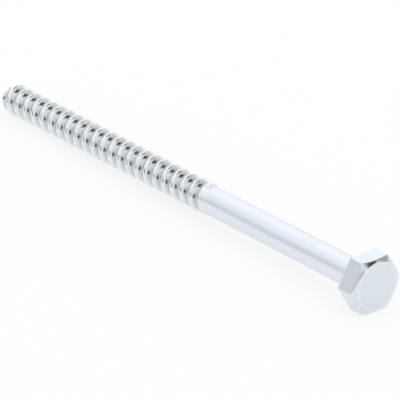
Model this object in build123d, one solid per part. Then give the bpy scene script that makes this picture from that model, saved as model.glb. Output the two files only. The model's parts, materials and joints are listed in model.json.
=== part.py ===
from build123d import *

import os
from math import asin, ceil, cos, degrees, hypot, pi, radians, sin, tan

# A hexagon-head lag screw (coach screw), nominally 10 x 180 mm: one solid piece of steel, headed and rolled.
# It is modelled upright, its axis on Z and its bearing face at z = 0, and is then laid down to rest.

# Driving dimensions, in millimetres and degrees.
LENGTH = 178.0  # from the bearing face to the point: nominally 180
PLAIN = 72.0  # of which the plain shank, measured where the thread's last full groove ends
SHANK_D = 9.1
THREAD_D = 10.0  # over the thread's crests
CORE_D = 7.56  # at the flat bottom of the thread's groove
PITCH = 4.5
CREST = 0.75  # width of the crest that is left between two turns of the groove
ROOT = 2.8  # width of that bottom
POINT_ANGLE = 90.0  # between opposite sides of the conical point
SWELL = 2.8  # length over which the shank swells to the thread's size
NECK_R = 0.6  # fillet under the head
NECK_MIDDLE = 45.0  # how far round the fillet its middle lies
HEAD_H = 6.6
SIDES = 6
ACROSS_FLATS = 17.0
TOP_D = 15.0  # circle that the chamfer leaves on the head's top
CHAMFER = 30.0  # between the chamfer and the head's top

# The angle about the axis is 0 on the side that the screw comes to lie on.
GROOVE_ANGLE = 230.0  # where the last full groove reaches the plain shank
RUN_OUT = (400.0, 580.0)  # where the groove starts to rise out of the steel, and where it has left it
RISE = 1.75  # how far it rises
TURN_POINTS = 8  # points to a turn of each helix
HEADING_STEP = 0.01  # turn over which a helix's heading is taken
OUTSIDE = 0.2  # how far the groove's section is drawn beyond the crests

crest_r = THREAD_D / 2
core_r = CORE_D / 2
shank_r = SHANK_D / 2
groove_half = (PITCH - CREST) / 2
point_length = crest_r / tan(radians(POINT_ANGLE / 2))


def groove_section():
    """The groove's section as (radius, distance along the axis), closed outside the steel."""
    slope = (groove_half - ROOT / 2) / (crest_r - core_r)
    mouth = (crest_r + OUTSIDE, groove_half + OUTSIDE * slope)
    bottom = (core_r, ROOT / 2)
    return [mouth, bottom] + [(r, -z) for r, z in (bottom, mouth)]


def groove_middle(angle):
    """Where the groove's middle lies along the axis, at an angle about it."""
    return -PLAIN - groove_half + PITCH * (angle - GROOVE_ANGLE) / 360


def rise(angle):
    """How far the groove has risen at an angle: nothing up to its run-out, and then ever faster."""
    start, end = RUN_OUT
    share = max(angle - start, 0.0) / (end - start)
    return RISE * share**2


def place(section_point, angle):
    """Where a point of the groove's section lies at an angle."""
    radius, offset = section_point
    r = radius + rise(angle)
    return Vector(r * cos(radians(angle)), r * sin(radians(angle)), groove_middle(angle) + offset)


def helix(section_point, start, end):
    """The line that one corner of the groove's section draws between two angles."""
    count = ceil(TURN_POINTS * (end - start) / 360)

    def heading(angle, step):
        return (place(section_point, angle + step) - place(section_point, angle)) * ((end - start) / step)

    angles = [start + (end - start) * i / count for i in range(count + 1)]
    return Edge.make_spline(
        [place(section_point, a) for a in angles],
        tangents=[heading(start, HEADING_STEP), heading(end, -HEADING_STEP)],
        parameters=[i / count for i in range(count + 1)],
        scale=False,
    )


def groove():
    """The helical groove as a solid to cut away, from beyond the point to its run-out."""
    section = groove_section()
    run_start, run_end = RUN_OUT
    turns = ceil((LENGTH + PITCH + groove_middle(run_start)) / PITCH)
    spans = [(run_start - 360 * k, run_start - 360 * (k - 1)) for k in range(turns, 0, -1)] + [RUN_OUT]
    faces = []
    for start, end in spans:
        lines = [helix(point, start, end) for point in section]
        faces += [Face.make_surface_from_curves(a, b) for a, b in zip(lines, lines[1:] + lines[:1])]
    for angle in (spans[0][0], run_end):
        corners = [place(point, angle) for point in section]
        faces.append(Face(Wire.make_polygon(corners, close=True)))
    return Solid(Shell(Face.sew_faces(faces)[0]))


def blank():
    """The shank, thread and point before the groove, turned about the axis, with the fillet under the head."""
    outline = [
        (0, -LENGTH),
        (crest_r, point_length - LENGTH),
        (crest_r, -PLAIN),
        (shank_r, SWELL - PLAIN),
        (shank_r, -NECK_R),
    ]
    neck_end = (shank_r + NECK_R, 0)
    middle = NECK_R * (1 - sin(radians(NECK_MIDDLE)))
    edges = [Line(Vector(a[0], 0, a[1]), Vector(b[0], 0, b[1])) for a, b in zip(outline, outline[1:])]
    start = Vector(outline[-1][0], 0, outline[-1][1])
    through = Vector(shank_r + middle, 0, -middle)
    end = Vector(neck_end[0], 0, neck_end[1])
    inside = Vector(neck_end[0], 0, HEAD_H / 2)
    on_axis = Vector(0, 0, HEAD_H / 2)
    edges += [ThreePointArc(start, through, end), Line(end, inside), Line(inside, on_axis)]
    edges += [Line(on_axis, Vector(0, 0, -LENGTH))]
    return Solid.revolve(Face(Wire(edges)), 360, Axis.Z)


def head():
    """The hexagon, with a flat on the side that it lies on, and its top chamfered by a cone."""
    hexagon = RegularPolygon(ACROSS_FLATS / 2, SIDES, major_radius=False, rotation=180 / SIDES)
    prism = extrude(hexagon, HEAD_H)
    reach = ACROSS_FLATS
    drop = (reach - TOP_D / 2) * tan(radians(CHAMFER))
    cone = [(0, -1), (reach, -1), (reach, HEAD_H - drop), (TOP_D / 2, HEAD_H), (0, HEAD_H)]
    turned = Solid.revolve(Face(Wire.make_polygon([Vector(r, 0, z) for r, z in cone], close=True)), 360, Axis.Z)
    return (prism & turned).solid()


def crest_at(turn):
    """Where a crest crosses the side that the screw lies on."""
    return groove_middle(360 * turn) + PITCH / 2


def rest_tilt():
    """The angle at which the axis dips towards the point, when the head's flat and the thread both touch."""
    crests = [crest_at(turn) for turn in range(-ceil(LENGTH / PITCH), 1)]
    last_crest = min(z for z in crests if z - CREST / 2 > point_length - LENGTH)
    run = CREST / 2 - last_crest
    rise_over_run = hypot(run, ACROSS_FLATS / 2 - crest_r)
    return degrees(asin((ACROSS_FLATS / 2 - crest_r) / rise_over_run))


screw = (blank() + head()).solid().cut(groove())
screw = screw.rotate(Axis.Y, 90 - rest_tilt())
box = screw.bounding_box()
screw = screw.translate(Vector(-(box.min.X + box.max.X) / 2, -(box.min.Y + box.max.Y) / 2, -box.min.Z))

print(f"rests with its axis dipping {rest_tilt():.3f} degrees; {2 * pi * crest_r:.2f} mm round the thread")
os.makedirs("parts", exist_ok=True)
export_step(screw, "parts/lag_screw.step")
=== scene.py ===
# %% [markdown]
# # A lag screw in bright zinc
#
# A lag screw is forged and rolled from one piece of steel wire: a hexagon head is upset on one end, and
# a coarse wood thread is rolled into the other. Then it is plated with zinc. So the whole screw is one
# mesh here. The frame comes first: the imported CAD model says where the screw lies, and everything is
# placed from it.

import json
import math

import bmesh
import bpy
from mathutils import Matrix, Vector


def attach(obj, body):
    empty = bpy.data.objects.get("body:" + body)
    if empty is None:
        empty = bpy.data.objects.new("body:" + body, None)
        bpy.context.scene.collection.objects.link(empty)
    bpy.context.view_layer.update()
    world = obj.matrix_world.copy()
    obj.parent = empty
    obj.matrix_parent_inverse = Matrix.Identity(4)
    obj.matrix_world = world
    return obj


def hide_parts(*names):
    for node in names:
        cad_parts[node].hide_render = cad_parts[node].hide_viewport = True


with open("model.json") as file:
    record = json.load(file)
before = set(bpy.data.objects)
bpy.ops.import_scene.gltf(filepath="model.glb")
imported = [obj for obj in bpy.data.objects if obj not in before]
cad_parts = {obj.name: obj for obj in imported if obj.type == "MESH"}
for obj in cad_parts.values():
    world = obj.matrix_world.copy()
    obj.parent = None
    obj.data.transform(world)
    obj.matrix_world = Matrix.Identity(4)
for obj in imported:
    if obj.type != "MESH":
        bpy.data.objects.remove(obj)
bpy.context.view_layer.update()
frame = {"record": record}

# %% [markdown]
# ## Sizes
#
# The sizes are those of the CAD source, in millimetres. The screw is drawn upright, its axis on Z with
# the face under the head at zero and the point below, and is laid down at the end. The groove differs
# from the CAD one only in its section: a rolled groove is round at the bottom, and the CAD one is flat
# and a little shallower.

# %% Name the sizes, in millimetres and degrees
MM = 0.001
LENGTH = 178.0
PLAIN = 72.0
THREAD_R = 5.0
CORE_R = 3.5
SHANK_R = 4.55
PITCH = 4.5
CREST = 0.75
FLANK_ANGLE = 30.0
GROOVE_R = 1.75
GROOVE_ANGLE = 230.0
RUN_OUT = (400.0, 580.0)
RISE = 1.75
SWELL = 2.8
NECK_R = 0.6
POINT_ANGLE = 90.0
HEAD_H = 6.6
ACROSS_FLATS = 17.0
TOP_R = 7.5
CHAMFER = 30.0
print("turns of thread:", round((LENGTH - PLAIN) / PITCH, 2))

# %% [markdown]
# ## Where it lies
#
# The record's mounts say which way the axis points and where the middle of the head's top is. The
# screw's own frame follows from them: Z runs along the axis to the head, and X points down to the side
# that it lies on.

# %% Find the screw's own frame
mounts = {mount["name"]: mount for mount in frame["record"]["mounts"]}
to_head = Vector(mounts["hex_drive"]["axis"]).normalized()
sideways = Vector((0.0, 1.0, 0.0))
downward = sideways.cross(to_head)
lie_down = Matrix((downward, sideways, to_head)).transposed().to_4x4()
lie_down.translation = Vector(mounts["hex_drive"]["pos_m"]) - to_head * HEAD_H * MM
print("axis to the head:", [round(v, 4) for v in to_head])

# %% [markdown]
# ## Three finishes of one plating
#
# The zinc is the same all over, but the steel under it isn't. The thread is squeezed between dies and
# comes out burnished, the shank keeps the long faint lines of the drawn wire, and the head has the
# faintly pebbled skin of a cold forging. The materials are made here, empty, so that the mesh can use
# them, and get their nodes further down.

# %% Name the finishes
FINISHES = ("zinc_on_rolled_thread", "zinc_on_drawn_shank", "zinc_on_forged_head")
SHANK_SLOT = 1
HEAD_SLOT = 2
on_thread, on_shank, on_head = [bpy.data.materials.new(name) for name in FINISHES]
print("finishes:", ", ".join(FINISHES))

# %% [markdown]
# ## Outlines and rings
#
# The head and the shank are a stack of rings round the axis. A ring of the shank is a circle. A ring of
# the head is a hexagon with slightly rounded corners, drawn so that every ring has its points at the
# same places and one ring joins the next by plain quads. Corners get more points than flats, because
# that is where light turns.

# %% Draw a circle and a rounded hexagon
COLUMNS = 96
SIDE_POINTS = 32
CORNER_POINTS = 6
CORNER_R = 0.35
HALF_SIDE = math.radians(30.0)


def circle(radius, z):
    angles = [2.0 * math.pi * i / COLUMNS for i in range(COLUMNS)]
    return [Vector((radius * math.cos(a), radius * math.sin(a), z)) for a in angles]


def hexagon(inset):
    """A rounded hexagon at z = 0, inset from the head's flats.

    Its first point is the middle of the lower flat.
    """
    flat = ACROSS_FLATS / 2.0
    centre = Vector((flat - CORNER_R, (flat - CORNER_R) * math.tan(HALF_SIDE)))
    straight = SIDE_POINTS // 2 - CORNER_POINTS
    corner_r = CORNER_R - inset
    points = []
    for i in range(6 * SIDE_POINTS):
        side = (i + SIDE_POINTS // 2) // SIDE_POINTS
        step = i - side * SIDE_POINTS
        turn = max(abs(step) - straight, 0) / CORNER_POINTS * HALF_SIDE
        along = centre.y * min(abs(step) / straight, 1.0) + corner_r * math.sin(turn)
        out = centre.x + corner_r * math.cos(turn)
        spot = Vector((out, math.copysign(along, step), 0.0))
        points.append(Matrix.Rotation(2.0 * HALF_SIDE * side, 3, "Z") @ spot)
    return points


print("points round the head:", len(hexagon(0.0)))

# %% [markdown]
# ## The head and the shank
#
# From the thread upwards: the plain shank, a small fillet, the flat face that bears on the work, the
# six flats, and the chamfer that a cone leaves on the hexagon's top. Where the cone meets a flat it
# leaves a curved edge, highest in the middle of the flat and lowest at the corners. A cold-forged head
# has no sharp edge, so each of its edges is a few rings: one on either side, and one or two between
# them that stand for the worn-down corner.

# %% List the rings of the shank and the head
EDGE = 0.12
CHAMFER_EDGE = 0.16
TOP_EDGE = 0.45
FILLET_STEPS = 6
SOFT_SHARES = (0.33, 0.67)
TOP_RINGS = (0.72, 0.4, 0.15)
slope = math.tan(math.radians(CHAMFER))


def raised(points, z):
    return [Vector((p.x, p.y, z)) for p in points]


def soft_edge(start, corner, end):
    """The points between start and end of a soft curve that leaves for the corner and turns."""
    return [start.lerp(corner, share).lerp(corner.lerp(end, share), share) for share in SOFT_SHARES]


def chamfered(points):
    """The rings from the flats over the chamfer's edge, and over the top's edge to the flat top."""
    rings = [[] for _ in range(8)]
    for p in points:
        reach = Vector((p.x, p.y, 0.0)).length
        out = p.normalized()
        edge = Vector((reach, 0.0, HEAD_H - (reach - TOP_R) * slope))
        inward = Vector((-math.cos(math.radians(CHAMFER)), 0.0, math.sin(math.radians(CHAMFER))))
        below = edge - Vector((0.0, 0.0, CHAMFER_EDGE))
        above = edge + inward * CHAMFER_EDGE
        rim = Vector((TOP_R, 0.0, HEAD_H))
        outer = rim - inward * TOP_EDGE
        inner = rim - Vector((TOP_EDGE, 0.0, 0.0))
        profile = [below, *soft_edge(below, edge, above), above]
        profile += [outer, *soft_edge(outer, rim, inner), inner]
        for ring, spot in zip(rings, profile):
            ring.append(out * spot.x + Vector((0.0, 0.0, spot.z)))
    return rings


def shank_rings(level_ring):
    rings = [circle(SHANK_R, level_ring * share - NECK_R * (1 - share)) for share in (1.0, 0.5, 0.0)]
    for step in range(1, FILLET_STEPS + 1):
        turn = math.radians(90.0) * step / FILLET_STEPS
        rings.append(circle(SHANK_R + NECK_R * (1 - math.cos(turn)), NECK_R * (math.sin(turn) - 1)))
    return rings


def head_rings():
    soft = EDGE * (1.0 - math.cos(math.radians(45.0)))
    rings = [raised(hexagon(EDGE), 0.0), raised(hexagon(soft), soft), raised(hexagon(0.0), EDGE)]
    rings += chamfered(hexagon(0.0))
    rings += [[Vector((p.x * share, p.y * share, p.z)) for p in rings[-1]] for share in TOP_RINGS]
    return rings


print("rings of the head:", len(head_rings()))

# %% [markdown]
# ## From rings to a mesh
#
# Two rings with the same number of points are joined by quads. The shank's last circle has fewer points
# than the head's hexagon, and both lie on the same flat face, so a belt of triangles joins them: it walks
# round both rings and always steps along the one that is behind. A point attribute, ridge, marks the
# edges where a screw rubs against its neighbours in the box, for the materials to make a little smoother
# and to brighten with a painted highlight.

# %% Join the rings
RIDGE_RINGS = (1, 4, 5, 8, 9)


def angle_of(vert, turned):
    """The angle about the axis, counted on past a full turn once the walk has turned."""
    angle = math.degrees(math.atan2(vert.co.y, vert.co.x)) % 360.0
    return angle + 360.0 if turned else angle


def join_equal(mesh, lower, upper, finish):
    for i, vert in enumerate(lower):
        after = (i + 1) % len(lower)
        mesh.faces.new((vert, lower[after], upper[after], upper[i])).material_index = finish


def join_unequal(mesh, lower, upper, finish):
    i = j = 0
    while i < len(lower) or j < len(upper):
        next_lower = angle_of(lower[(i + 1) % len(lower)], i + 1 >= len(lower))
        next_upper = angle_of(upper[(j + 1) % len(upper)], j + 1 >= len(upper))
        a, b = lower[i % len(lower)], upper[j % len(upper)]
        if j == len(upper) or (i < len(lower) and next_lower <= next_upper):
            i += 1
            corner = lower[i % len(lower)]
        else:
            j += 1
            corner = upper[j % len(upper)]
        mesh.faces.new((a, corner, b)).material_index = finish


def headed_shank(level_ring):
    mesh = bmesh.new()
    ridge = mesh.verts.layers.float.new("ridge")
    mesh.verts.layers.float.new("groove_depth")
    shank = [[mesh.verts.new(p) for p in ring] for ring in shank_rings(level_ring)]
    head = [[mesh.verts.new(p) for p in ring] for ring in head_rings()]
    for lower, upper in zip(shank, shank[1:]):
        join_equal(mesh, lower, upper, SHANK_SLOT)
    join_unequal(mesh, shank[-1], head[0], HEAD_SLOT)
    for lower, upper in zip(head, head[1:]):
        join_equal(mesh, lower, upper, HEAD_SLOT)
    middle = mesh.verts.new((0.0, 0.0, HEAD_H))
    for i, vert in enumerate(head[-1]):
        after = head[-1][(i + 1) % len(head[-1])]
        mesh.faces.new((vert, after, middle)).material_index = HEAD_SLOT
    for n in RIDGE_RINGS:
        for vert in head[n]:
            vert[ridge] = 1.0
    for face in mesh.faces:
        face.smooth = True
    made = bpy.data.meshes.new("headed_shank")
    mesh.to_mesh(made)
    mesh.free()
    for finish in (on_thread, on_shank, on_head):
        made.materials.append(finish)
    return made


# %% [markdown]
# ## Sums in a node tree
#
# A thread follows a rule: how far a point lies from the axis depends only on its height and its angle.
# Geometry Nodes can state that rule directly, but a long sum is hard to read as nodes. This small class
# lets sockets be added and multiplied in plain Python, and adds the Math nodes behind the scenes.

# %% A socket that Python can reckon with
class Field:
    """A value in a node tree. Reckoning with it adds Math nodes to the tree."""

    def __init__(self, tree, socket):
        self.tree = tree
        self.socket = socket

    def __add__(self, other):
        return reckon("ADD", self, other)

    def __sub__(self, other):
        return reckon("SUBTRACT", self, other)

    def __rsub__(self, other):
        return reckon("SUBTRACT", other, self)

    def __mul__(self, other):
        return reckon("MULTIPLY", self, other)

    def __truediv__(self, other):
        return reckon("DIVIDE", self, other)


def connect(tree, value, socket):
    """Links a field or a socket to an input, or sets the input to a plain value."""
    if isinstance(value, Field):
        tree.links.new(value.socket, socket)
    elif isinstance(value, bpy.types.NodeSocket):
        tree.links.new(value, socket)
    else:
        socket.default_value = value


def add_node(tree, kind, inputs=(), **settings):
    """Adds a node with its settings, and with its inputs by name."""
    node = tree.nodes.new(kind)
    for name, value in settings.items():
        setattr(node, name, value)
    for name, value in dict(inputs).items():
        connect(tree, value, node.inputs[name])
    return node


def reckon(operation, *values):
    tree = next(value.tree for value in values if isinstance(value, Field))
    node = add_node(tree, "ShaderNodeMath", operation=operation)
    for socket, value in zip(node.inputs, values):
        connect(tree, value, socket)
    return Field(tree, node.outputs[0])


def between(value, low, high):
    return reckon("MINIMUM", reckon("MAXIMUM", value, low), high)


def ramp(value, start, gain):
    """Zero up to the start, and from there up to one, the faster the greater the gain."""
    return between((value - start) * gain, 0.0, 1.0)


# %% [markdown]
# ## The thread: rows that climb
#
# A tube of level rings would cross the thread's crests at a slant and leave them ragged. So the rows of
# this tube climb with the thread, one pitch in each turn, and every crest and groove lies along a row.
# At the end of a turn each row meets the row one pitch above it. Above the thread the climb dies out,
# and leaves a level ring for the shank to start from. Rows stand closer together at the crests, where
# the surface turns most.
#
# Below the point every row sinks to the same spot, and Merge by Distance welds the rows there and at
# the seam.

# %% Give the tree its inputs
ROWS_PER_TURN = 28
CROWDING = 0.45
SOFTNESS = 0.12
CREST_BAND_DEPTH = 0.25
half_mouth = (PITCH - CREST) / 2.0
first_crest = -PLAIN - half_mouth - PITCH * GROOVE_ANGLE / 360.0 + PITCH / 2.0
turns_below = math.ceil((first_crest + LENGTH + PITCH) / PITCH)
first_row = first_crest - PITCH * turns_below
turns = turns_below + 2
level_ring = first_row + PITCH * turns

SIZES = {
    "Pitch": PITCH,
    "Length": LENGTH,
    "Plain length": PLAIN,
    "Thread radius": THREAD_R,
    "Core radius": CORE_R,
    "Shank radius": SHANK_R,
    "Groove radius": GROOVE_R,
    "Flank angle": math.radians(FLANK_ANGLE),
    "Half mouth": half_mouth,
    "Groove angle": GROOVE_ANGLE,
    "Run-out start": RUN_OUT[0],
    "Run-out end": RUN_OUT[1],
    "Rise": RISE,
    "Swell": SWELL,
    "Point slope": math.tan(math.radians(POINT_ANGLE / 2.0)),
    "Softness": SOFTNESS,
    "First row": first_row,
    "Level ring": level_ring,
    "Crowding": CROWDING / (2.0 * math.pi),
}
COUNTS = {"Columns": COLUMNS, "Rows per turn": ROWS_PER_TURN, "Rows": ROWS_PER_TURN * turns}
USED = {"Thread finish": on_thread, "Shank finish": on_shank}
SOCKETS = (("NodeSocketFloat", SIZES), ("NodeSocketInt", COUNTS), ("NodeSocketMaterial", USED))

tree = bpy.data.node_groups.new("rolled_thread", "GeometryNodeTree")
for direction in ("INPUT", "OUTPUT"):
    tree.interface.new_socket("Geometry", in_out=direction, socket_type="NodeSocketGeometry")
for kind, values in SOCKETS:
    for name in values:
        tree.interface.new_socket(name, in_out="INPUT", socket_type=kind)
entry = tree.nodes.new("NodeGroupInput")
given = {socket.name: Field(tree, socket) for socket in entry.outputs if socket.name}
print("inputs of the thread's tree:", len(given), " level ring at", round(level_ring, 3))

# %% Lay out the climbing rows
grid = add_node(
    tree,
    "GeometryNodeMeshGrid",
    {
        "Size X": 1.0,
        "Size Y": given["Rows"],
        "Vertices X": given["Columns"] + 1,
        "Vertices Y": given["Rows"] + 1,
    },
)


def place_now(part):
    """One coordinate of the point that a node is working on."""
    position = add_node(tree, "GeometryNodeInputPosition")
    apart = add_node(tree, "ShaderNodeSeparateXYZ", {"Vector": position.outputs[0]})
    return Field(tree, apart.outputs[part])


turn = place_now("X") + 0.5
row = (place_now("Y") + given["Rows"] / 2.0) / given["Rows per turn"]
angle = turn * 360.0
crowded = reckon("SINE", row * (2.0 * math.pi)) * given["Crowding"]
height = given["First row"] + given["Pitch"] * (row - crowded)
climb = between(given["Level ring"] - height, 0.0, given["Pitch"])
z = reckon("MAXIMUM", height + turn * climb, given["Length"] * -1.0)

# %% [markdown]
# ## The thread: the groove's section
#
# A point belongs to the nearest turn of the groove. Across that turn the section is an arc at the
# bottom, and straight flanks that carry on from the arc at thirty degrees. Where the dies let go of the
# blank the groove rises out of the steel, slowly at first, and fades into the plain shank.

# %% Work out the groove
per_degree = given["Pitch"] / 360.0
middle = (angle - given["Groove angle"]) * per_degree - given["Plain length"] - given["Half mouth"]
away = (z - middle) / given["Pitch"]
whole = reckon("ROUND", away)
offset = reckon("ABSOLUTE", (away - whole) * given["Pitch"])
unrolled = angle + whole * 360.0

touch = given["Groove radius"] * reckon("COSINE", given["Flank angle"])
inside = reckon("MINIMUM", offset, touch)
drop = reckon("SQRT", given["Groove radius"] * given["Groove radius"] - inside * inside)
flank = reckon("MAXIMUM", offset - touch, 0.0) / reckon("TANGENT", given["Flank angle"])
fading = (unrolled - given["Run-out start"]) / (given["Run-out end"] - given["Run-out start"])
fading = reckon("MAXIMUM", fading, 0.0)
groove = given["Core radius"] + given["Groove radius"] - drop + flank + fading * fading * given["Rise"]

# %% [markdown]
# ## The thread: the blank and the point
#
# The groove is rolled into a blank, which is as thick as the thread, swells a little from the thinner
# shank, and ends in a cone. The surface is wherever blank or groove lies nearer to the axis. A smooth
# minimum does that with soft crests, as the dies and the plating leave them.

# %% Work out the surface and weld it
cone = (z + given["Length"]) * given["Point slope"]
swelling = between((z + given["Plain length"]) / given["Swell"], 0.0, 1.0)
body = given["Thread radius"] + swelling * (given["Shank radius"] - given["Thread radius"])
blank = reckon("SMOOTH_MIN", body, cone, given["Softness"])
radius = reckon("SMOOTH_MIN", blank, groove, given["Softness"])
radius = reckon("MAXIMUM", radius, 0.0) * reckon("GREATER_THAN", cone, 0.0)
radians = reckon("RADIANS", angle)
spot = add_node(
    tree,
    "ShaderNodeCombineXYZ",
    {"X": radius * reckon("COSINE", radians), "Y": radius * reckon("SINE", radians), "Z": z},
)
depth = between((blank - groove) / (given["Thread radius"] - given["Core radius"]), 0.0, 1.0)
on_thread_only = reckon("LESS_THAN", z, given["Plain length"] * -1.0)
# The crest band becomes the ridge attribute, where the finishes paint a highlight and make the zinc
# smoother.
on_crest = between((CREST_BAND_DEPTH - depth) / CREST_BAND_DEPTH, 0.0, 1.0) * on_thread_only
shape = grid.outputs["Mesh"]
for name, value in (("groove_depth", depth), ("ridge", on_crest)):
    noted = add_node(
        tree,
        "GeometryNodeStoreNamedAttribute",
        {"Geometry": shape, "Name": name, "Value": value},
        data_type="FLOAT",
        domain="POINT",
    )
    shape = noted.outputs["Geometry"]
placed = add_node(tree, "GeometryNodeSetPosition", {"Geometry": shape, "Position": spot.outputs[0]})
shape = placed.outputs[0]

# %% [markdown]
# ## One screw
#
# The tree joins the thread to the headed shank that it is given, welds the level ring where they meet,
# and sets the finishes: the shank's finish starts where the blank has swollen to the thread's size.

# %% Join the thread to the shank and run the tree
JOIN_GAP = 0.002
past_swell = reckon("GREATER_THAN", place_now("Z"), given["Swell"] - given["Plain length"])
shape = add_node(
    tree, "GeometryNodeSetMaterial", {"Geometry": shape, "Material": given["Thread finish"]}
).outputs[0]
shape = add_node(
    tree,
    "GeometryNodeSetMaterial",
    {"Geometry": shape, "Selection": past_swell, "Material": given["Shank finish"]},
).outputs[0]
both = tree.nodes.new("GeometryNodeJoinGeometry")
tree.links.new(shape, both.inputs[0])
tree.links.new(given["Geometry"].socket, both.inputs[0])
welded = add_node(
    tree, "GeometryNodeMergeByDistance", {"Geometry": both.outputs[0], "Distance": JOIN_GAP}
)
smooth = add_node(tree, "GeometryNodeSetShadeSmooth", {"Geometry": welded.outputs[0]})
real = add_node(tree, "GeometryNodeRealizeInstances", {"Geometry": smooth.outputs[0]})
tree.links.new(real.outputs[0], tree.nodes.new("NodeGroupOutput").inputs[0])

screw = bpy.data.objects.new("zinc_lag_screw", headed_shank(level_ring))
bpy.context.scene.collection.objects.link(screw)
modifier = screw.modifiers.new("rolled_thread", "NODES")
modifier.node_group = tree
identifiers = {item.name: item.identifier for item in tree.interface.items_tree if item.in_out == "INPUT"}
for _, values in SOCKETS:
    for name, value in values.items():
        modifier[identifiers[name]] = value

# %% [markdown]
# ## A plain mesh, laid down
#
# The modifier's result becomes a plain mesh, and the modifier goes. Face normals are made to point
# outwards, and the mesh is turned from upright to lying. A Weighted Normal modifier then lets the large
# flat faces of the head decide how their rounded edges are shaded.
#
# The step counts the edges that don't join exactly two faces. The weld has left one: an edge at the
# very tip, six thousandths of a millimetre long, that four faces share. No edge is open.

# %% Turn the result into a plain mesh
TOO_SHORT = 1e-5


def plain_mesh(thing):
    depsgraph = bpy.context.evaluated_depsgraph_get()
    evaluated = thing.evaluated_get(depsgraph)
    mesh = bpy.data.meshes.new_from_object(
        evaluated, preserve_all_data_layers=True, depsgraph=depsgraph
    )
    thing.modifiers.clear()
    thing.data = mesh
    return mesh


def outward(mesh):
    work = bmesh.new()
    work.from_mesh(mesh)
    bmesh.ops.dissolve_degenerate(work, dist=TOO_SHORT, edges=work.edges)
    bmesh.ops.recalc_face_normals(work, faces=work.faces)
    faulty = [len(edge.link_faces) for edge in work.edges if not edge.is_manifold]
    opened = sum(faces < 2 for faces in faulty)
    volume = work.calc_volume(signed=True)
    work.to_mesh(mesh)
    work.free()
    print("edges that don't join exactly two faces:", len(faulty), " of which open:", opened)
    print("volume in cubic millimetres:", round(volume, 1))


mesh = plain_mesh(screw)
outward(mesh)
heads_points = [v.index for v in mesh.vertices if v.co.z > -NECK_R]
screw.vertex_groups.new(name="head").add(heads_points, 1.0, "REPLACE")
mesh.transform(lie_down @ Matrix.Scale(MM, 4))
shading = screw.modifiers.new("flat faces lead", "WEIGHTED_NORMAL")
shading.vertex_group = "head"
plain_mesh(screw)
print("triangles:", sum(len(face.vertices) - 2 for face in screw.data.polygons))

# %% [markdown]
# ## Shader groups
#
# Three effects are shared by the finishes, so each is a node group with named inputs. They put out only
# colours and values, and the metal's shader stays in each material. Lengths in them are millimetres:
# the object's own coordinates are multiplied up once, and turned so that X runs along the screw.

# %% Helpers for shader groups
def shader_group(name, inputs, outputs):
    """An empty shader group, its inputs as fields, and its output node."""
    group = bpy.data.node_groups.new(name, "ShaderNodeTree")
    for label, (kind, default) in inputs.items():
        socket = group.interface.new_socket(label, in_out="INPUT", socket_type=kind)
        if default is not None:
            socket.default_value = default
    for label, kind in outputs.items():
        group.interface.new_socket(label, in_out="OUTPUT", socket_type=kind)
    entry = group.nodes.new("NodeGroupInput")
    fields = {socket.name: Field(group, socket) for socket in entry.outputs if socket.name}
    return group, fields, group.nodes.new("NodeGroupOutput")


def noise(group, vector, scale, detail, rough=0.5):
    """A soft cloud of values between 0 and 1."""
    node = add_node(
        group,
        "ShaderNodeTexNoise",
        {"Vector": vector, "Scale": scale, "Detail": detail, "Roughness": rough},
    )
    return Field(group, node.outputs[0])


def stretched(group, vector, factors):
    node = add_node(group, "ShaderNodeVectorMath", operation="MULTIPLY")
    connect(group, vector, node.inputs[0])
    connect(group, factors, node.inputs[1])
    return Field(group, node.outputs[0])


def mixed(group, share, first, second):
    node = add_node(group, "ShaderNodeMix", data_type="RGBA")
    for socket, value in zip((node.inputs[0], node.inputs[6], node.inputs[7]), (share, first, second)):
        connect(group, value, socket)
    return Field(group, node.outputs[2])


# %% [markdown]
# ## Zinc tone
#
# Bright zinc is a cool white metal, and the clear chromate over it has a faint yellow-green cast that
# comes and goes as the film gets thicker and thinner. The group blends the two tones with two sizes of
# cloud.

# %% Build the zinc tone group
BROAD_PER_MM = 0.22
FINE_PER_MM = 1.6
BROAD_SHARE = 0.7
zinc_tone, given_tone, tone_out = shader_group(
    "zinc_tone",
    {
        "Place": ("NodeSocketVector", None),
        "Zinc": ("NodeSocketColor", (0.79, 0.835, 0.90, 1.0)),
        "Film": ("NodeSocketColor", (0.74, 0.765, 0.74, 1.0)),
        "Film share": ("NodeSocketFloat", 0.5),
    },
    {"Color": "NodeSocketColor"},
)
broad = noise(zinc_tone, given_tone["Place"], BROAD_PER_MM, 2.0)
fine = noise(zinc_tone, given_tone["Place"], FINE_PER_MM, 3.0)
film = ramp(broad * BROAD_SHARE + fine * (1.0 - BROAD_SHARE), 0.35, 3.0) * given_tone["Film share"]
connect(zinc_tone, mixed(zinc_tone, film, given_tone["Zinc"], given_tone["Film"]), tone_out.inputs[0])

# %% [markdown]
# ## Surface marks
#
# The surface of the steel shows through so thin a coat: lines on the drawn shank, ripples that follow
# the dies on the thread, a pebbled skin on the head. One group makes all three from a stretched cloud.
# It gives the height for a bump and the change in roughness that goes with it, with a few duller,
# handled patches on top.

# %% Build the surface marks group
PATCHES_PER_MM = 0.35
surface_marks, given_marks, marks_out = shader_group(
    "surface_marks",
    {
        "Place": ("NodeSocketVector", None),
        "Stretch": ("NodeSocketVector", (1.0, 1.0, 1.0)),
        "Marks per mm": ("NodeSocketFloat", 4.0),
        "Roughness": ("NodeSocketFloat", 0.22),
        "Change": ("NodeSocketFloat", 0.1),
        "Dull patches": ("NodeSocketFloat", 0.05),
    },
    {"Height": "NodeSocketFloat", "Roughness": "NodeSocketFloat"},
)
lines = noise(
    surface_marks,
    stretched(surface_marks, given_marks["Place"], given_marks["Stretch"]),
    given_marks["Marks per mm"],
    4.0,
    0.6,
)
patches = ramp(noise(surface_marks, given_marks["Place"], PATCHES_PER_MM, 3.0), 0.5, 5.0)
roughened = given_marks["Roughness"] + (lines - 0.5) * given_marks["Change"]
dulled = roughened + patches * given_marks["Dull patches"]
connect(surface_marks, lines, marks_out.inputs[0])
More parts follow.
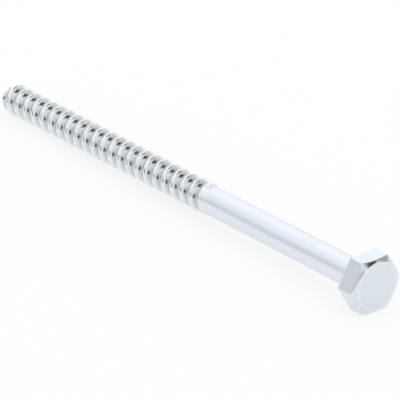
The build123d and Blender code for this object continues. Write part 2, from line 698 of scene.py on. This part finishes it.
connect(surface_marks, dulled, marks_out.inputs[1])

# %% [markdown]
# ## Rubbed edges with a painted highlight
#
# Screws are sold loose and tumble against each other, so edges and thread crests are rubbed a little
# smoother than the rest, and they are painted brighter, which is a painted highlight. The mesh's ridge
# attribute says where, and a cloud breaks it up.

# %% Build the rubbed edges group
BREAKS_PER_MM = 1.1
rubbed_and_highlit_edges, given_rub_highlight, rub_highlight_out = shader_group(
    "rubbed_and_highlit_edges",
    {
        "Place": ("NodeSocketVector", None),
        "Ridge": ("NodeSocketFloat", 0.0),
        "Amount": ("NodeSocketFloat", 0.6),
    },
    {"Mask": "NodeSocketFloat"},
)
broken = ramp(noise(rubbed_and_highlit_edges, given_rub_highlight["Place"], BREAKS_PER_MM, 3.0), 0.38, 6.0)
connect(rubbed_and_highlit_edges, given_rub_highlight["Ridge"] * broken * given_rub_highlight["Amount"], rub_highlight_out.inputs[0])

# %% [markdown]
# ## The finishes
#
# Each finish is the same metal with its own numbers, though the head's zinc is set a little darker, which
# is painted shade. The thread adds one thing: the bottom of the groove is duller, and is painted darker
# and a little warmer as shade.

# %% Build the finishes
LONG_ZINC = (0.785, 0.838, 0.915, 1.0)
# The head's zinc is set darker than the thread's and shank's, which is painted shade.
SHADED_HEAD_ZINC = (0.72, 0.78, 0.858, 1.0)
# A brighter zinc that paints a highlight on edges and crests.
RUBBED_AND_HIGHLIT = (0.92, 0.94, 0.96, 1.0)
# A darker, warmer colour that paints shade at the bottom of the groove.
GROOVE_PAINTED_SHADE = (0.49, 0.53, 0.50, 1.0)
RUBBING_SMOOTHS = 0.06
GROOVE_DULLS = 0.08


def group_node(material, group, **inputs):
    node = add_node(material, "ShaderNodeGroup", node_tree=group)
    for label, value in inputs.items():
        connect(material, value, node.inputs[label.replace("_", " ")])
    return node


def zinc_finish(material, zinc, stretch, per_mm, rough, change, height, film, edges, groove_shade=0.0):
    material.use_nodes = True
    nodes = material.node_tree
    nodes.nodes.clear()
    own = add_node(nodes, "ShaderNodeTexCoord").outputs["Object"]
    turned = add_node(nodes, "ShaderNodeMapping", {"Vector": own})
    turned.inputs["Rotation"].default_value = (0.0, math.atan2(to_head.z, to_head.x), 0.0)
    place = add_node(nodes, "ShaderNodeVectorMath", operation="SCALE")
    connect(nodes, turned.outputs[0], place.inputs[0])
    place.inputs["Scale"].default_value = 1.0 / MM
    place = place.outputs[0]
    ridge = add_node(nodes, "ShaderNodeAttribute", attribute_name="ridge").outputs["Fac"]

    tone = group_node(nodes, zinc_tone, Place=place, Zinc=zinc, Film_share=film)
    marks = group_node(
        nodes,
        surface_marks,
        Place=place,
        Stretch=stretch,
        Marks_per_mm=per_mm,
        Roughness=rough,
        Change=change,
    )
    rub_and_highlight = group_node(nodes, rubbed_and_highlit_edges, Place=place, Ridge=ridge, Amount=edges)
    # Painted highlight: edges and crests are mixed towards a brighter zinc.
    color = mixed(nodes, Field(nodes, rub_and_highlight.outputs[0]), tone.outputs[0], RUBBED_AND_HIGHLIT)
    smoothed = Field(nodes, marks.outputs["Roughness"]) - Field(nodes, rub_and_highlight.outputs[0]) * RUBBING_SMOOTHS
    # Painted shade: towards the bottom of the groove the colour is mixed darker and warmer, and the
    # roughness rises.
    if groove_shade:
        deep = add_node(nodes, "ShaderNodeAttribute", attribute_name="groove_depth")
        depth = Field(nodes, deep.outputs["Fac"])
        dull_and_shade = ramp(depth, 0.3, 1.6) * groove_shade
        color = mixed(nodes, dull_and_shade, color, GROOVE_PAINTED_SHADE)
        smoothed = smoothed + dull_and_shade * GROOVE_DULLS
    bump = add_node(nodes, "ShaderNodeBump", {"Distance": height * MM, "Height": marks.outputs["Height"]})
    metal = add_node(
        nodes,
        "ShaderNodeBsdfPrincipled",
        {"Base Color": color, "Metallic": 1.0, "Roughness": smoothed, "Normal": bump.outputs[0]},
    )
    surface = add_node(nodes, "ShaderNodeOutputMaterial", {"Surface": metal.outputs[0]})
    print("finish", material.name, "has", len(nodes.nodes), "nodes, ending in", surface.bl_label)


THREAD_LOOK = {
    "zinc": LONG_ZINC,
    "stretch": (0.35, 1.0, 1.0),
    "per_mm": 2.5,
    "rough": 0.20,
    "change": 0.06,
    "height": 0.003,
    "film": 0.6,
    "edges": 0.65,
    "groove_shade": 0.85,
}
SHANK_LOOK = {
    "zinc": LONG_ZINC,
    "stretch": (0.03, 1.0, 1.0),
    "per_mm": 4.0,
    "rough": 0.28,
    "change": 0.04,
    "height": 0.001,
    "film": 0.25,
    "edges": 0.4,
}
HEAD_LOOK = {
    "zinc": SHADED_HEAD_ZINC,
    "stretch": (1.0, 1.0, 1.0),
    "per_mm": 1.2,
    "rough": 0.16,
    "change": 0.06,
    "height": 0.002,
    "film": 0.4,
    "edges": 0.6,
}
zinc_finish(on_thread, **THREAD_LOOK)
zinc_finish(on_shank, **SHANK_LOOK)
zinc_finish(on_head, **HEAD_LOOK)

# %% [markdown]
# ## Tell the frame about the piece
#
# The mesh is the lag screw's whole look, so it rides on the root body and stands in for the one CAD
# solid.

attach(screw, "root")
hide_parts("lag_screw")

# %% [markdown]
# ## Camera
#
# A long lens from the head's end, a little above: azimuth 51 degrees round from the front, 26 degrees
# up.

# %% Place the camera
AZIMUTH = 50.92
ELEVATION = 26.487
DISTANCE = 1.1438
FOCAL_MM = 334.2
SENSOR_MM = 36.0
AIM = Vector((0.01379, -0.00357, 0.0078))


def toward(azimuth, elevation):
    a = math.radians(azimuth)
    e = math.radians(elevation)
    return Vector((math.sin(a) * math.cos(e), -math.cos(a) * math.cos(e), math.sin(e)))


lens = bpy.data.cameras.new("camera")
lens.lens = FOCAL_MM
lens.sensor_width = SENSOR_MM
camera = bpy.data.objects.new("camera", lens)
bpy.context.scene.collection.objects.link(camera)
camera.location = AIM + toward(AZIMUTH, ELEVATION) * DISTANCE
camera.rotation_euler = toward(AZIMUTH, ELEVATION).to_track_quat("Z", "Y").to_euler()
bpy.context.scene.camera = camera
print("camera at", [round(v, 3) for v in camera.location])

# %% [markdown]
# ## Floor, light and cards
#
# Bright metal shows the room and little else. The room here is white: a pale floor, an even white
# world, one large lamp overhead that gives the screw a faint shadow, and a small softbox behind it.
# Without something dark to reflect, the screw would be white on white, so cards stand round it as in a
# product studio, and only reflections see them. Two pale grey ones beyond the point end draw the soft
# stripe along the shank. Black ones high behind and low in front put the two dark spots in every turn
# of the groove, with a pale grey one between them on the far side. Four small ones near the head give
# its corners and chamfer their contrast.

# %% Set up the studio
HEAD_MIDDLE = Vector((0.089, 0.0, 0.0085))
FLOOR_GREY = 0.88
FLOOR_WIDTH = 12.0
SHOWN_WHITE = 0.8
CARDS = (
    # name, what sees it, its azimuth, elevation and distance from there, width, height, grey
    ("stripe_card", AIM, -44.0, 7.5, 0.85, 0.9, 0.15, 0.71),
    ("pale_card", AIM, -44.0, 13.0, 0.9, 1.0, 0.42, 0.80),
    ("rear_card", AIM, 166.0, 25.0, 0.9, 0.75, 0.7, 0.83),
    ("rear_top_card", AIM, 172.0, 65.0, 0.85, 0.98, 0.62, 0.03),
    ("front_card", AIM, 25.0, 10.0, 0.9, 0.85, 0.44, 0.03),
    ("chamfer_card", HEAD_MIDDLE, 115.0, 27.0, 0.25, 0.11, 0.08, 0.01),
    ("corner_card", HEAD_MIDDLE, 146.0, 20.0, 0.3, 0.13, 0.17, 0.45),
    ("side_card", HEAD_MIDDLE, 78.0, 12.0, 0.3, 0.15, 0.08, 0.62),
    ("edge_card", HEAD_MIDDLE, 22.0, 28.0, 0.3, 0.18, 0.05, 0.08),
)


def plain_material(name, color):
    material = bpy.data.materials.new(name)
    material.use_nodes = True
    shader = material.node_tree.nodes["Principled BSDF"]
    shader.inputs["Base Color"].default_value = (*color, 1.0)
    shader.inputs["Roughness"].default_value = 0.9
    shader.inputs["Specular IOR Level"].default_value = 0.0
    return material


def panel(name, centre, facing, width, height, material):
    """A flat panel that faces a point."""
    mesh = bpy.data.meshes.new(name)
    x, y = width / 2.0, height / 2.0
    mesh.from_pydata([(-x, -y, 0.0), (x, -y, 0.0), (x, y, 0.0), (-x, y, 0.0)], [], [(0, 1, 2, 3)])
    mesh.materials.append(material)
    thing = bpy.data.objects.new(name, mesh)
    thing.location = centre
    thing.rotation_euler = (facing - centre).to_track_quat("Z", "Y").to_euler()
    bpy.context.scene.collection.objects.link(thing)
    return thing


def bright_floor(share):
    """A pale floor that looks mostly white to the camera and in reflections, so its shadows are faint."""
    material = plain_material("floor", (FLOOR_GREY, FLOOR_GREY, FLOOR_GREY))
    nodes = material.node_tree
    seen_by = add_node(nodes, "ShaderNodeLightPath").outputs
    glossy = Field(nodes, seen_by["Is Glossy Ray"])
    reflected = reckon("MAXIMUM", glossy, seen_by["Is Transmission Ray"])
    seen = reckon("MAXIMUM", Field(nodes, seen_by["Is Camera Ray"]), reflected)
    white = add_node(nodes, "ShaderNodeEmission", {"Strength": 1.0})
    both = add_node(nodes, "ShaderNodeMixShader")
    connect(nodes, seen * share, both.inputs[0])
    connect(nodes, nodes.nodes["Principled BSDF"].outputs[0], both.inputs[1])
    connect(nodes, white.outputs[0], both.inputs[2])
    connect(nodes, both.outputs[0], nodes.nodes["Material Output"].inputs["Surface"])
    return material


def card(name, seen_from, azimuth, elevation, distance, width, height, grey):
    """A card that only reflections see, placed by the direction in which a part of the screw sees it."""
    centre = seen_from + toward(azimuth, elevation) * distance
    made = panel(name, centre, seen_from, width, height, plain_material(name, (grey, grey, grey)))
    made.visible_camera = False
    made.visible_diffuse = False
    made.visible_shadow = False
    return made


GROUND = Vector((0.0, 0.0, 0.0))
UP = Vector((0.0, 0.0, 1.0))
panel("floor", GROUND, UP, FLOOR_WIDTH, FLOOR_WIDTH, bright_floor(SHOWN_WHITE))
for placing in CARDS:
    card(*placing)
print("cards:", ", ".join(placing[0] for placing in CARDS))

world = bpy.data.worlds.new("white_room")
world.use_nodes = True
world.node_tree.nodes["Background"].inputs["Color"].default_value = (1.0, 1.0, 1.0, 1.0)
world.node_tree.nodes["Background"].inputs["Strength"].default_value = 1.0
bpy.context.scene.world = world


def area_lamp(name, size, watts, place):
    light = bpy.data.lights.new(name, "AREA")
    light.size = size
    light.energy = watts
    lamp = bpy.data.objects.new(name, light)
    lamp.location = place
    bpy.context.scene.collection.objects.link(lamp)
    return lamp


area_lamp("overhead", 1.5, 2.2, Vector((0.1, 0.2, 1.2)))
from_behind = toward(-118.0, 36.0)
softbox = area_lamp("behind", 0.7, 0.25, AIM + from_behind * 0.9)
softbox.rotation_euler = from_behind.to_track_quat("Z", "Y").to_euler()

bpy.context.scene.view_settings.view_transform = "Standard"
